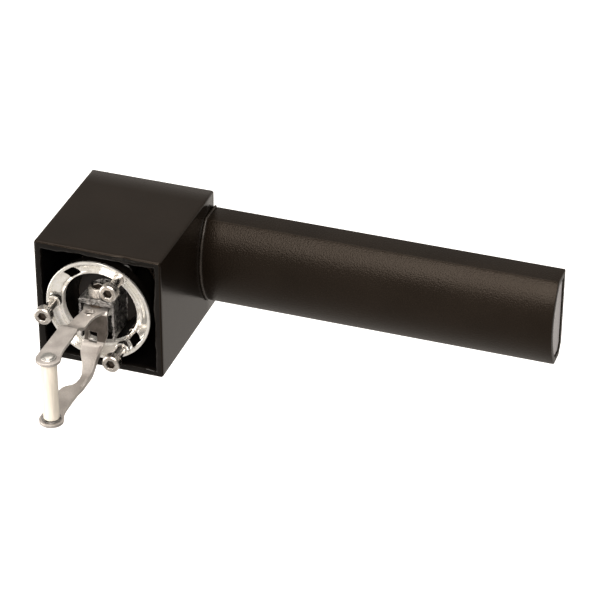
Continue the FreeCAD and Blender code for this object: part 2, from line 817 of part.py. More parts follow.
def grip_joint_plate():
    """Thin plate between the head's side wall and the grip."""
    body = new_body("grip_joint_plate")
    start = "head_width / 2"
    holes = [circle(across, up, "bolt_clear") for across, up in GRIP_BOLT_PLACES]
    pad(body, SIDE, start, GRIP_ROOT, grip_section("-joint_margin"), *holes)
    # its rear edge is cut flush with the grip's back
    field = rectangle("head_back", "head_back + 2", "-grip_low - 2", "grip_top + 2")
    pocket(body, SIDE, start, GRIP_ROOT, field)
    return body


def grip_tube():
    """Extruded hollow grip."""
    body = new_body("grip_tube")
    pad(body, SIDE, GRIP_ROOT, "grip_end", grip_section("0"))
    pocket(body, SIDE, GRIP_ROOT, "grip_end", grip_section("grip_wall"))
    return body


def grip_base_plug():
    """Threaded plug fixed in the grip's inner end."""
    body = new_body("grip_base_plug")
    threads = [circle(across, up, "bolt_radius") for across, up in GRIP_BOLT_PLACES]
    pad(body, SIDE, GRIP_ROOT, "plug_end", grip_section("grip_wall"), *threads)
    return body


def grip_bolts():
    """Two M5 cap screws from inside the head into the plug."""
    seat = "head_width / 2 - shell_wall - washer_thickness"
    return cap_screws(
        "grip_bolts",
        SIDE,
        GRIP_BOLT_PLACES,
        seat,
        f"{seat} - bolt_cap_length",
        "grip_bolt_tip",
        "bolt_radius",
        "bolt_cap_radius",
        "bolt_socket",
        "bolt_socket_depth",
    )


def grip_bolt_washers():
    end = "head_width / 2 - shell_wall"
    start = f"{end} - washer_thickness"
    return flat_washer(
        "grip_bolt_washers",
        SIDE,
        start,
        end,
        "bolt_clear",
        "grip_washer_radius",
        GRIP_BOLT_PLACES,
    )


def grip_end_cap():
    """End cap: a plate inside the grip's rim and a spigot pressed into the tube."""
    body = new_body("grip_end_cap")
    face = "grip_end - cap_inset"
    shoulder = f"{face} - cap_plate"
    pad(body, SIDE, f"{shoulder} - spigot_length", shoulder, grip_section("grip_wall"))
    pad(body, SIDE, shoulder, face, grip_section("grip_wall + cap_gap"))
    return body


BUILDERS = (
    head_shell,
    mounting_boss,
    flange_ring,
    bearing_bush,
    panel_screws,
    locating_dowel,
    stop_pin,
    drive_hub,
    friction_washer,
    thrust_washer,
    stop_plate,
    hub_bolt,
    hub_bolt_washer,
    pivot_screw,
    pivot_nut,
    pivot_spacer,
    yoke,
    cross_pin,
    pin_washers,
    roller_sleeve,
    grip_joint_plate,
    grip_tube,
    grip_base_plug,
    grip_bolts,
    grip_bolt_washers,
    grip_end_cap,
)
nodes = [build() for build in BUILDERS]
doc.recompute()

for item in doc.Objects:
    if "Invalid" in item.State or "Error" in item.State:
        raise RuntimeError(f"{item.Label} failed: {item.State}")
for node in nodes:
    if node.Shape.isNull() or not node.Shape.isValid():
        raise RuntimeError(f"{node.Label} has no valid shape")

os.makedirs("parts", exist_ok=True)
for node in nodes:
    node.Shape.exportStep(f"parts/{node.Label}.step")
    solids = len(node.Shape.Solids)
    print(f"{node.Label}: {solids} solid(s), {node.Shape.Volume:.1f} mm3")
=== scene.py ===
import json
import math

import bmesh
import bpy
from mathutils import Matrix, Vector, noise


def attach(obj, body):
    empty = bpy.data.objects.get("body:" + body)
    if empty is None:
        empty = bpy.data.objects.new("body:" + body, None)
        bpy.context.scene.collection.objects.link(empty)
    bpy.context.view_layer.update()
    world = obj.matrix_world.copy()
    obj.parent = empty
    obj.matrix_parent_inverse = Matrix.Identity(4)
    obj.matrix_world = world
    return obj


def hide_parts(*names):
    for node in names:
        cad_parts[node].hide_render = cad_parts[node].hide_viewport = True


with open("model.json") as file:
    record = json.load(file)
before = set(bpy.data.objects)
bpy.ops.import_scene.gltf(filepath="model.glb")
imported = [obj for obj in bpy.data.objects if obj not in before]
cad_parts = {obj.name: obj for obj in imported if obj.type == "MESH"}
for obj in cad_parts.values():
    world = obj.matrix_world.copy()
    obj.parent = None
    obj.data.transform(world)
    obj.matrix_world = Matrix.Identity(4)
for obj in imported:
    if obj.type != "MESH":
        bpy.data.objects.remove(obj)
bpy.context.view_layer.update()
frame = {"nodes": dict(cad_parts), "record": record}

# Shapes are drawn in millimetres in the part's frame and scaled once, when a piece is made.
MM = 0.001
TO_METRES = Matrix.Scale(MM, 4)
SHEET = 1.0
TURN = 2 * math.pi
scene = bpy.context.scene


# ---------------------------------------------------------------- materials


# A noise texture's values mostly lie between these.
NOISE_LOW, NOISE_HIGH = 0.3, 0.7
RAMP_LOW, RAMP_HIGH = 0.32, 0.68
SPECKLE_LOW, SPECKLE_HIGH = 0.86, 1.14
# Cosine between a face and its rounded edge: the edge colour, partly wear and partly painted highlight,
# starts at the first and is full at the second.
WEAR_AND_HIGHLIGHT_START, WEAR_AND_HIGHLIGHT_FULL = 0.995, 0.90
WEAR_AND_HIGHLIGHT_PATCHES = 900.0
BUMP_STRENGTH = 0.6


def material(name, colours, rough, metal=0.0, specular=0.5, mottle=60.0, grain=1500.0, grain_depth=0.00002,
             rough_spread=0.08, wear_and_highlight=None, wear_and_highlight_width=0.0003, wear_and_highlight_amount=0.7, wear_and_highlight_rough=0.25,
             stretch=(1.0, 1.0, 1.0), coat=0.0, tint=(1.0, 1.0, 1.0)):
    """Mottled colour, uneven roughness, fine bump, and edges turned another colour, partly wear and partly
    painted highlight.
    """
    mat = bpy.data.materials.new(name)
    mat.use_nodes = True
    nodes, links = mat.node_tree.nodes, mat.node_tree.links
    shader = nodes["Principled BSDF"]
    shader.inputs["Metallic"].default_value = metal
    shader.inputs["Specular IOR Level"].default_value = specular
    shader.inputs["Coat Weight"].default_value = coat
    shader.inputs["Specular Tint"].default_value = (*tint, 1)
    place = nodes.new("ShaderNodeTexCoord")
    mapping = nodes.new("ShaderNodeMapping")
    mapping.inputs["Scale"].default_value = stretch
    links.new(place.outputs["Object"], mapping.inputs["Vector"])

    def noise_of(scale, detail=4.0):
        node = nodes.new("ShaderNodeTexNoise")
        node.inputs["Scale"].default_value = scale
        node.inputs["Detail"].default_value = detail
        links.new(mapping.outputs["Vector"], node.inputs["Vector"])
        return node.outputs["Fac"]

    def spread(value, low, high):
        node = nodes.new("ShaderNodeMapRange")
        node.inputs["From Min"].default_value = NOISE_LOW
        node.inputs["From Max"].default_value = NOISE_HIGH
        node.inputs["To Min"].default_value = low
        node.inputs["To Max"].default_value = high
        links.new(value, node.inputs["Value"])
        return node.outputs["Result"]

    large, fine = noise_of(mottle), noise_of(grain, 2.0)
    ramp = nodes.new("ShaderNodeValToRGB")
    ramp.color_ramp.elements[0].position = RAMP_LOW
    ramp.color_ramp.elements[1].position = RAMP_HIGH
    for element, colour in zip(ramp.color_ramp.elements, colours):
        element.color = (*colour, 1)
    links.new(large, ramp.inputs["Fac"])
    speckle = nodes.new("ShaderNodeMix")
    speckle.data_type = "RGBA"
    speckle.blend_type = "MULTIPLY"
    speckle.inputs["Factor"].default_value = 1.0
    links.new(ramp.outputs["Color"], speckle.inputs["A"])
    links.new(spread(fine, SPECKLE_LOW, SPECKLE_HIGH), speckle.inputs["B"])
    colour, roughness = speckle.outputs["Result"], spread(large, rough - rough_spread, rough + rough_spread)
    # Edge colour: partly wear, partly painted highlight along rounded edges that catch the light.
    if wear_and_highlight:
        edge = nodes.new("ShaderNodeBevel")
        edge.inputs["Radius"].default_value = wear_and_highlight_width
        edge.samples = 4
        geometry = nodes.new("ShaderNodeNewGeometry")
        cosine = nodes.new("ShaderNodeVectorMath")
        cosine.operation = "DOT_PRODUCT"
        links.new(edge.outputs["Normal"], cosine.inputs[0])
        links.new(geometry.outputs["Normal"], cosine.inputs[1])
        near = nodes.new("ShaderNodeMapRange")
        near.inputs["From Min"].default_value = WEAR_AND_HIGHLIGHT_START
        near.inputs["From Max"].default_value = WEAR_AND_HIGHLIGHT_FULL
        near.inputs["To Max"].default_value = wear_and_highlight_amount
        links.new(cosine.outputs["Value"], near.inputs["Value"])
        patchy = nodes.new("ShaderNodeMath")
        patchy.operation = "MULTIPLY"
        links.new(near.outputs["Result"], patchy.inputs[0])
        links.new(spread(noise_of(WEAR_AND_HIGHLIGHT_PATCHES), 0.3, 1.0), patchy.inputs[1])
        rubbed_and_lit = nodes.new("ShaderNodeMix")
        rubbed_and_lit.data_type = "RGBA"
        rubbed_and_lit.inputs["B"].default_value = (*wear_and_highlight, 1)
        links.new(patchy.outputs["Value"], rubbed_and_lit.inputs["Factor"])
        links.new(colour, rubbed_and_lit.inputs["A"])
        smoother = nodes.new("ShaderNodeMix")
        smoother.inputs["B"].default_value = wear_and_highlight_rough
        links.new(patchy.outputs["Value"], smoother.inputs["Factor"])
        links.new(roughness, smoother.inputs["A"])
        colour, roughness = rubbed_and_lit.outputs["Result"], smoother.outputs["Result"]
    links.new(colour, shader.inputs["Base Color"])
    links.new(roughness, shader.inputs["Roughness"])
    bump = nodes.new("ShaderNodeBump")
    bump.inputs["Distance"].default_value = grain_depth
    bump.inputs["Strength"].default_value = BUMP_STRENGTH
    links.new(fine, bump.inputs["Height"])
    links.new(bump.outputs["Normal"], shader.inputs["Normal"])
    return mat


COAT_COLOURS = ((0.0085, 0.0058, 0.0038), (0.0120, 0.0084, 0.0058))
COAT = dict(specular=0.27, mottle=55.0, grain=2400.0, grain_depth=0.00007, rough_spread=0.03,
            tint=(1.0, 0.86, 0.74))
GRIP_COAT = {**COAT, "specular": 0.21, "grain": 2100.0, "grain_depth": 0.00013}
# Each material's edge colour below is partly wear and partly painted highlight on its rounded edges.
MATS = {
    "coat_head": material("coat_head", COAT_COLOURS, 0.13, wear_and_highlight=(0.085, 0.074, 0.064), wear_and_highlight_amount=0.6,
                          **COAT),
    "coat_grip": material("coat_grip", COAT_COLOURS, 0.3, wear_and_highlight=(0.06, 0.052, 0.045), wear_and_highlight_amount=0.45,
                          **GRIP_COAT),
    # Lighter than the coat: painted highlight along the paint bead at the grip's root.
    "bead_painted_highlight": material("bead_painted_highlight", ((0.022, 0.017, 0.013), (0.05, 0.041, 0.034)), 0.25, specular=0.4,
                          mottle=300.0, grain=900.0, grain_depth=0.00005),
    # Near-black copy of the coat: painted shade deep inside the box.
    "inside": material("inside", ((0.0015, 0.0013, 0.0012), (0.003, 0.0025, 0.0022)), 0.65, specular=0.06,
                       mottle=120.0, grain=900.0),
    # Dark glossy coat: the wet paint build-up on the box's lip, and painted shade in hollows of the head,
    # ring, posts and hub.
    "wet_coat_and_shade": material("wet_coat_and_shade", ((0.004, 0.0035, 0.003), (0.008, 0.0065, 0.0055)), 0.16,
                         mottle=180.0, grain=500.0, grain_depth=0.00008, specular=0.22),
    "chrome": material("chrome", ((0.97, 0.955, 0.91), (1.0, 0.985, 0.945)), 0.11, metal=0.75, mottle=160.0,
                       grain=420.0, grain_depth=0.00003, rough_spread=0.04),
    "satin": material("satin", ((0.95, 0.935, 0.89), (1.0, 0.985, 0.94)), 0.38, metal=0.1, mottle=300.0,
                      grain=900.0, grain_depth=0.00003),
    "steel": material("steel", ((0.60, 0.56, 0.52), (0.78, 0.75, 0.71)), 0.27, metal=1.0, mottle=500.0,
                      grain=4000.0, grain_depth=0.00001, wear_and_highlight=(0.95, 0.93, 0.9), wear_and_highlight_width=0.00025),
    # Dark steel: painted shade in the screws' key sockets. Some inner pieces below take it as their darker
    # material.
    "socket": material("socket", ((0.035, 0.026, 0.02), (0.09, 0.07, 0.055)), 0.4, metal=0.6, mottle=700.0,
                       grain=3000.0, grain_depth=0.00002),
    "zinc_steel": material("zinc_steel", ((0.55, 0.54, 0.52), (0.66, 0.66, 0.63)), 0.38, metal=1.0,
                           mottle=220.0, wear_and_highlight=(0.85, 0.85, 0.82)),
    "yoke_sheet": material("yoke_sheet", ((0.56, 0.525, 0.50), (0.68, 0.645, 0.615)), 0.46, metal=0.75,
                           mottle=300.0, grain=3500.0, grain_depth=0.00002, wear_and_highlight=(0.92, 0.89, 0.85),
                           wear_and_highlight_width=0.00022, wear_and_highlight_amount=0.85),
    # Darker copy of the sheet: painted shade on the web's front, under the neck and upper arm.
    "yoke_web_painted_shade": material("yoke_web_painted_shade", ((0.08, 0.069, 0.06), (0.14, 0.123, 0.11)), 0.5, metal=0.75,
                         mottle=420.0, grain=2500.0, grain_depth=0.00003, wear_and_highlight=(0.7, 0.66, 0.62),
                         wear_and_highlight_width=0.00022, wear_and_highlight_amount=0.7),
    "roller": material("roller", ((1.0, 0.92, 0.79), (1.0, 0.955, 0.86)), 0.3, mottle=240.0, grain=900.0,
                       stretch=(1.0, 1.0, 0.12), grain_depth=0.000012, coat=0.25),
    # Its light grey edges are partly painted highlight along the hub's top edge, partly wear.
    "cast": material("cast", ((0.05, 0.05, 0.051), (0.46, 0.45, 0.44)), 0.3, metal=0.85, mottle=680.0,
                     grain=1100.0, grain_depth=0.0006, wear_and_highlight=(0.42, 0.41, 0.41), wear_and_highlight_width=0.0006,
                     wear_and_highlight_amount=0.8, wear_and_highlight_rough=0.25),
    # Near-black base: painted shade on the bush in the gap between the hub and the ring's bore.
    "bronze": material("bronze", ((0.009, 0.0065, 0.0045), (0.02, 0.014, 0.009)), 0.5, metal=0.2,
                       mottle=300.0, wear_and_highlight=(0.12, 0.085, 0.05)),
    "fibre": material("fibre", ((0.006, 0.0045, 0.0035), (0.014, 0.010, 0.008)), 0.7, mottle=500.0,
                      grain=2500.0),
    "alloy": material("alloy", ((0.62, 0.62, 0.63), (0.72, 0.72, 0.73)), 0.36, metal=1.0, mottle=200.0,
                      wear_and_highlight=(0.88, 0.88, 0.88)),
    "cap_plastic": material("cap_plastic", ((0.70, 0.68, 0.70), (0.80, 0.785, 0.80)), 0.45, mottle=90.0,
                            grain=2200.0, grain_depth=0.00003, wear_and_highlight=(0.75, 0.73, 0.75)),
}
SCREW_MATS = (MATS["steel"], MATS["socket"])


# ---------------------------------------------------------------- mesh helpers


def into_scene(name, bm, transform):
    """Turns a mesh under construction into an object."""
    bm.transform(transform)
    mesh = bpy.data.meshes.new(name)
    bm.to_mesh(mesh)
    bm.free()
    obj = bpy.data.objects.new(name, mesh)
    scene.collection.objects.link(obj)
    return obj


def shade_smooth(mesh, sharp=None):
    """Smooths every face, and keeps edges over the given angle sharp."""
    mesh.polygons.foreach_set("use_smooth", [True] * len(mesh.polygons))
    if sharp is not None:
        mesh.set_sharp_from_angle(angle=math.radians(sharp))


def piece(name, bm, body, slot, *nodes, mats=None, sharp=32.0):
    """Scales and smooths a mesh drawn in millimetres, and puts it on its body."""
    bmesh.ops.recalc_face_normals(bm, faces=bm.faces)
    obj = into_scene(name, bm, TO_METRES)
    for mat in mats or (MATS[slot],):
        obj.data.materials.append(mat)
    shade_smooth(obj.data, sharp)
    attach(obj, body)
    if nodes:
        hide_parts(*nodes)
    return obj


def skin(bm, rings, hollow=False):
    """Joins equal rings with quads. A hollow skin goes on to its first ring, and others get two ends."""
    rows = [[bm.verts.new(p) for p in ring] for ring in rings]
    count = len(rows[0])
    following = rows[1:] + rows[:1] if hollow else rows[1:]
    for a, b in zip(rows, following):
        for i in range(count):
            j = (i + 1) % count
            bm.faces.new((a[i], a[j], b[j], b[i]))
    if not hollow:
        bm.faces.new(rows[0])
        bm.faces.new(rows[-1])


def turned(bm, rows, centre, axis, steps=96, hollow=False):
    """Turned shape. A row is (distance along the axis, radius), and a radius may be a function of angle."""
    along = Vector(axis).normalized()
    first = along.orthogonal().normalized()
    if abs(along.z) < 0.5:
        first = along.cross(Vector((0, 0, 1))).normalized()
    second = along.cross(first)
    rings = []
    for height, radius in rows:
        ring = []
        for i in range(steps):
            t = TURN * i / steps
            r = radius(t) if callable(radius) else radius
            ring.append(Vector(centre) + along * height + (first * math.cos(t) + second * math.sin(t)) * r)
        rings.append(ring)
    skin(bm, rings, hollow)


def hexagon(flats):
    """Radius of a hexagon with that distance across flats, as a function of angle."""
    sixth = TURN / 6
    return lambda t: flats / 2 / math.cos((t % sixth) - sixth / 2)


def ridged(radius, depth, count):
    """Radius of a fluted rod, as a function of angle."""
    return lambda t: radius - depth * (0.5 + 0.5 * math.cos(count * t))


def threaded(start, end, radius, pitch=0.5, depth=0.28, per_turn=7):
    """Rows of a screw thread that fades out at its start."""
    rows = []
    count = max(2, int((end - start) / pitch * per_turn))
    for k in range(count + 1):
        height = start + (end - start) * k / count
        fade = min(1.0, (height - start) / pitch, (end - height) / pitch + 0.3)

        def profile(t, height=height, fade=fade):
            phase = (height / pitch + t / TURN) % 1.0
            return radius - depth * fade * abs(2 * phase - 1)

        rows.append((height, profile))
    return rows


M3_RADIUS = 1.5


def cap_screw(bm, centre, axis, shank, length, plain, cap=2.75, head=3.0, key=2.5, key_depth=1.6):
    """Socket cap screw: face at the centre, axis pointing from the face to the tip."""
    chamfer, socket = 0.35, hexagon(key)
    rows = [(key_depth + 0.5, 0.05), (key_depth, socket), (0.18, socket), (0.0, hexagon(key + 0.36))]
    rows += [(0.0, cap - chamfer - 0.15), (0.04, cap - chamfer), (chamfer, cap - 0.03)]
    knurl = ridged(cap, 0.11, 32)
    rows += [(chamfer + 0.12, knurl), (head - 0.35, knurl), (head - 0.22, cap - 0.1), (head, cap - 0.25)]
    rows += [(head, shank + 0.25), (head + 0.18, shank), (head + plain, shank)]
    rows += threaded(head + plain, length - 0.3, shank)
    rows += [(length - 0.25, shank - 0.25), (length, shank - 0.5)]
    turned(bm, rows, centre, axis, steps=128)
    # Faces in the key socket take the dark steel: painted shade in the socket.
    for face in bm.faces:
        offset = face.calc_center_median() - Vector(centre)
        inward = offset.dot(Vector(axis))
        aside = (offset - Vector(axis) * inward).length
        in_socket = 0.1 < inward < key_depth + 0.6 and aside < key * 0.62
        if in_socket:
            face.material_index = 1


def rounded_square(half, radius, per_side=44, per_corner=5):
    """Points of a square with rounded corners, as (across, up)."""
    points = []
    flat = half - radius
    for side in range(4):
        turn = side * TURN / 4
        local = [(half, -flat + 2 * flat * k / per_side) for k in range(per_side)]
        for k in range(per_corner):
            a = TURN / 4 * k / per_corner
            local.append((flat + radius * math.cos(a), flat + radius * math.sin(a)))
        for x, z in local:
            across = x * math.cos(turn) - z * math.sin(turn)
            up = x * math.sin(turn) + z * math.cos(turn)
            points.append((across, up))
    return points


def rough(x, y, z, scale, seed=0.0):
    """Smooth noise from about -1 to 1."""
    return noise.noise(Vector((x * scale + seed, y * scale, z * scale)))


# ---------------------------------------------------------------- head


HEAD_HALF, HEAD_BACK, LIP, WALL = 20.0, 46.0, 0.5, 2.0
NICK_ACROSS, NICK_WIDTH = 8.2, 1.6


def head_shell():
    """Folded box with a thick, wavy build-up of paint round its open front."""
    bm = bmesh.new()
    sections = [(0.8, HEAD_BACK, 0.5), (0.25, HEAD_BACK - 0.08, 0.55), (0.0, HEAD_BACK - 0.5, 0.6)]
    sections += [(0.0, y, 0.6) for y in (38.0, 30.0, 22.0, 14.0, 8.0, 4.0, 2.2)]
    sections += [(0.0, 1.3, 0.6), (0.1, LIP + 0.32, 0.6), (0.42, LIP + 0.06, 0.55)]
    lip_row = len(sections)
    sections += [(0.75, LIP + 0.02, 0.5), (1.2, LIP + 0.03, 0.45), (1.65, LIP + 0.1, 0.4)]
    sections += [(1.95, LIP + 0.42, 0.35), (2.0, 1.9, 0.3), (2.0, 5.0, 0.3), (2.0, 20.0, 0.3)]
    sections += [(2.0, HEAD_BACK - WALL - 0.3, 0.3), (2.3, HEAD_BACK - WALL, 0.2)]
    rings = []
    for row, (inset, y, radius) in enumerate(sections):
        near = max(0.0, 1 - abs(row - lip_row) / 4.0)
        inner = max(0.0, min(1.0, (row - lip_row + 1) / 3.0)) * max(0.0, 1 - max(0, row - lip_row - 4) / 2.0)
        ring = []
        for across, up in rounded_square(HEAD_HALF - inset, radius):
            run = rough(across, up, 0, 0.11, 3.1) + 0.45 * rough(across, up, 0, 0.4, 9.7)
            nick = math.exp(-((across - NICK_ACROSS) / NICK_WIDTH) ** 2) * (1 if up > 15 else 0)
            pull = 0.55 * inner * (run + 0.35) + 0.35 * inner * nick
            scale = 1 - pull / max(abs(across), abs(up))
            dent = near * (0.10 * abs(run) + 0.5 * nick)
            ring.append((across * scale, y + dent, up * scale))
        rings.append(ring)
    skin(bm, rings)
    # The lip's rim takes the dark wet coat. Inside the box, faces take the same dark coat for the first 3 mm
    # and a near-black copy of the coat deeper in: painted shade.
    for face in bm.faces:
        middle = face.calc_center_median()
        out = max(abs(middle.x), abs(middle.z))
        on_lip = middle.y < LIP + 1.0 and out < HEAD_HALF - 0.35
        on_inside = middle.y < HEAD_BACK - 1 and out < HEAD_HALF - 1.2
        if on_lip or on_inside:
            face.material_index = 1 if middle.y < 3.0 else 2
    piece("head_box", bm, "lever", "coat_head", "head_shell",
          mats=(MATS["coat_head"], MATS["wet_coat_and_shade"], MATS["inside"]), sharp=50)


# ---------------------------------------------------------------- grip


GRIP_ROOT, GRIP_END = 20.8, 130.3
TOP, LOW, CREASE, CURVE, HEEL, HEEL_UP = 14.4, 14.5, 38.0, 21.5, 43.5, 11.0
GRIP_WALL, GRIP_CORNER = 2.0, 0.35


def grip_section(inset, arcs=40):
    """The grip's section as (behind the panel face, up): flat top and back, bulging front, bevelled heel."""
    middle = (TOP - LOW) / 2
    centre = CREASE + math.sqrt(CURVE ** 2 - (TOP - middle) ** 2)
    radius, top, low = CURVE - inset, TOP - inset, LOW - inset
    start = math.acos((top - middle) / radius)
    points = []
    for k in range(arcs + 1):
        a = start + (math.pi - 2 * start) * k / arcs
        points.append((centre - radius * math.sin(a), middle + radius * math.cos(a)))
    heel = [(HEEL - inset / 2, -low), (HEAD_BACK - inset, -HEEL_UP + inset / 2), (HEAD_BACK - inset, top)]
    return rounded(points + heel, GRIP_CORNER, arcs)


def rounded(points, radius, arcs):
    """Rounds the corners of a section that has one arc of small steps and then straight sides."""
    out = points[1:arcs]
    corners = points[arcs:] + [points[0]]
    count = len(points)
    for k, corner in enumerate(corners):
        index = (arcs + k) % count
        before, after = Vector(points[index - 1]), Vector(points[(index + 1) % count])
        here = Vector(corner)
        a = here + (before - here).normalized() * min(radius, (before - here).length * 0.45)
        b = here + (after - here).normalized() * min(radius, (after - here).length * 0.45)
        for t in (0.0, 0.25, 0.5, 0.75, 1.0):
            point = a.lerp(here, t).lerp(here.lerp(b, t), t)
            out.append((point.x, point.y))
    return out


def section_ring(x, inset):
    return [(x, y, z) for y, z in grip_section(inset)]


def grip_tube():
    bm = bmesh.new()
    steps = [GRIP_ROOT + 0.35 + (GRIP_END - GRIP_ROOT - 0.7) * k / 24 for k in range(25)]
    rings = [section_ring(GRIP_ROOT, 0.3), section_ring(GRIP_ROOT + 0.1, 0.08)]
    rings += [section_ring(x, 0.0) for x in steps]
    rings += [section_ring(GRIP_END - 0.1, 0.08), section_ring(GRIP_END, 0.3)]
    rings += [section_ring(GRIP_END, GRIP_WALL - 0.25), section_ring(GRIP_END - 0.2, GRIP_WALL - 0.02)]
    rings += [section_ring(GRIP_END - 2.45, GRIP_WALL), section_ring(GRIP_ROOT + 0.2, GRIP_WALL)]
    skin(bm, rings, hollow=True)
    piece("grip_profile", bm, "lever", "coat_grip", "grip_tube", sharp=40)


def grip_end_cap():
    bm = bmesh.new()
    face = GRIP_END - 0.3
    rings = [section_ring(face - 11.2, 2.4), section_ring(face - 10.9, 2.02), section_ring(face - 2.2, 2.02)]
    rings += [section_ring(face - 2.2, 2.36), section_ring(face - 0.3, 2.36), section_ring(face - 0.08, 2.44)]
    rings += [section_ring(face, 2.65), section_ring(face, 5.5)]
    skin(bm, rings)
    piece("grip_cap", bm, "lever", "cap_plastic", "grip_end_cap", sharp=40)


def grip_joint_plate():
    bm = bmesh.new()
    rings = []
    for x, inset in ((20.0, -0.1), (20.08, -0.32), (20.2, -0.4), (20.6, -0.4), (20.72, -0.32), (20.8, -0.1)):
        rings.append([(x, min(y, HEAD_BACK), z) for _, y, z in section_ring(x, inset)])
    skin(bm, rings)
    # The bead takes the lighter coat: painted highlight along the grip's root.
    piece("grip_gasket", bm, "lever", "coat_head", "grip_joint_plate", mats=(MATS["bead_painted_highlight"],), sharp=40)


# ---------------------------------------------------------------- flange ring


def applied(obj):
    """The piece's mesh with its modifiers applied. The modifiers are taken off."""
    bpy.context.view_layer.update()
    graph = bpy.context.evaluated_depsgraph_get()
    mesh = bpy.data.meshes.new_from_object(obj.evaluated_get(graph))
    obj.modifiers.clear()
    return mesh


def cut(obj, *tools):
    """Cuts the tools out of a piece and applies the result."""
    for tool in tools:
        boolean = obj.modifiers.new("cut", "BOOLEAN")
        boolean.object = tool
        boolean.solver = "EXACT"
    obj.data = applied(obj)
    for tool in tools:
        bpy.data.objects.remove(tool)


def tool_box(size, centre, rotation):
    """A block that only cuts."""
    bm = bmesh.new()
    bmesh.ops.create_cube(bm, size=1.0)
    place = Matrix.Translation(centre) @ rotation @ Matrix.Diagonal((*size, 1.0))
    return into_scene("tool", bm, TO_METRES @ place)


def tool_rod(radius, centre, axis, length):
    """A rod that only cuts."""
    bm = bmesh.new()
    turned(bm, [(-length / 2, radius), (length / 2, radius)], centre, axis, steps=48)
    bmesh.ops.recalc_face_normals(bm, faces=bm.faces)
    return into_scene("tool", bm, TO_METRES)


WINDOW_CIRCLE, WINDOWS, WINDOW_SIZE = 13.9, (127.0, -38.0), (3.0, 30.0, 4.2)
RING_OUTER, RING_BODY, BORE, JOURNAL_HOLE, RING_BACK = 16.6, 15.9, 11.8, 8.05, 14.5
LIT_BORE = 3.4
RING_SHARP = 28
SCREW_CIRCLE, SCREW_ANGLES, SCREW_FACE = 14.2, (60, 180, 300), 8.6
DOWEL_CIRCLE, DOWEL_ANGLE, DOWEL_FACE = 12.0, -24.0, 3.4


def on_circle(radius, degrees):
    a = math.radians(degrees)
    return radius * math.cos(a), radius * math.sin(a)


def flange_ring():
    """Plated casting: thin flat rim, a fine step, a hollow dish, a lip and the bore."""
    bm = bmesh.new()
    rows = [(0.0, 16.3), (0.0, 15.75), (0.12, 15.6), (0.62, 15.55), (0.75, 15.4)]
    for k in range(13):
        t = k / 12
        rows.append((0.75 + 1.45 * math.sin(t * math.pi * 0.5) ** 1.1, 15.35 - 2.75 * t))
    rows += [(2.12, 12.5), (1.75, 12.42), (1.6, 12.25), (1.6, 12.0), (1.75, BORE + 0.04)]
    rows += [(LIT_BORE, BORE), (5.4, BORE), (9.5, BORE), (9.5, JOURNAL_HOLE)]
    rows += [(RING_BACK - 0.2, JOURNAL_HOLE), (RING_BACK, JOURNAL_HOLE + 0.25), (RING_BACK, 13.2)]
    rows += [(RING_BACK - 0.2, 13.4), (5.0, 13.4), (5.0, RING_BODY - 0.2), (4.8, RING_BODY)]
    rows += [(1.15, RING_BODY), (1.0, RING_BODY + 0.15), (0.9, RING_OUTER - 0.1), (0.78, RING_OUTER)]
    rows += [(0.2, RING_OUTER), (0.06, RING_OUTER - 0.1)]
    turned(bm, rows, (0, 0, 0), (0, 1, 0), steps=192, hollow=True)
    # Faces behind the rim, deep in the bore and on the outer side take the dark wet coat: painted shade. The
    # lit front of the bore takes the satin copy of the plating.
    for face in bm.faces:
        middle = face.calc_center_median()
        away = math.hypot(middle.x, middle.z)
        in_bore = away < BORE + 0.1
        on_side = middle.y > 1.0 and away > 15.5
        if middle.y > 5.2 or in_bore and middle.y > LIT_BORE or on_side:
            face.material_index = 1
        elif in_bore and middle.y > 1.7:
            face.material_index = 2
    obj = piece("flange_plated", bm, "flange", "chrome", "flange_ring",
                mats=(MATS["chrome"], MATS["wet_coat_and_shade"], MATS["satin"]), sharp=RING_SHARP)
    tools = []
    for degrees in WINDOWS:
        across, up = on_circle(WINDOW_CIRCLE, degrees)
        turn = Matrix.Rotation(-math.radians(degrees), 4, "Y")
        tools.append(tool_box(WINDOW_SIZE, (across, 3.0, up), turn))
    cut(obj, *tools)
    # The windows' side walls take the dark wet coat: painted shade in the windows.
    for face in obj.data.polygons:
        x, y, z = face.center / MM
        for degrees in WINDOWS:
            across, up = on_circle(WINDOW_CIRCLE, degrees)
            near = math.hypot(x - across, z - up) < 2.3
            if near and y > 2.3 and abs(face.normal.y) < 0.1:
                face.material_index = 1
    shade_smooth(obj.data, RING_SHARP)


def screw_posts():
    """The three tapped posts on the ring's back, with a turned-over collar at each screw."""
    bm = bmesh.new()
    for degrees in SCREW_ANGLES:
        across, up = on_circle(SCREW_CIRCLE, degrees)
        rows = [(0.55, 2.05), (0.3, 2.0), (0.22, 1.85), (0.22, 1.62), (0.6, 1.56), (8.8, 1.56), (9.0, 1.7)]
        rows += [(9.0, 2.2), (8.8, 2.4), (5.1, 2.4), (4.9, 2.1)]
        turned(bm, rows, (across, 0, up), (0, 1, 0), steps=48, hollow=True)
    # Faces behind the collars take the dark wet coat: painted shade behind the ring.
    for face in bm.faces:
        behind_collar = face.calc_center_median().y > 2.0
        if behind_collar:
            face.material_index = 1
    piece("flange_posts", bm, "flange", "chrome", mats=(MATS["chrome"], MATS["wet_coat_and_shade"]), sharp=35)


def panel_screws():
    bm = bmesh.new()
    for degrees in SCREW_ANGLES:
        across, up = on_circle(SCREW_CIRCLE, degrees)
        cap_screw(bm, (across, -SCREW_FACE, up), (0, 1, 0), M3_RADIUS, length=17.0, plain=5.4)
    piece("panel_cap_screws", bm, "flange", "steel", "panel_screws", mats=SCREW_MATS, sharp=30)


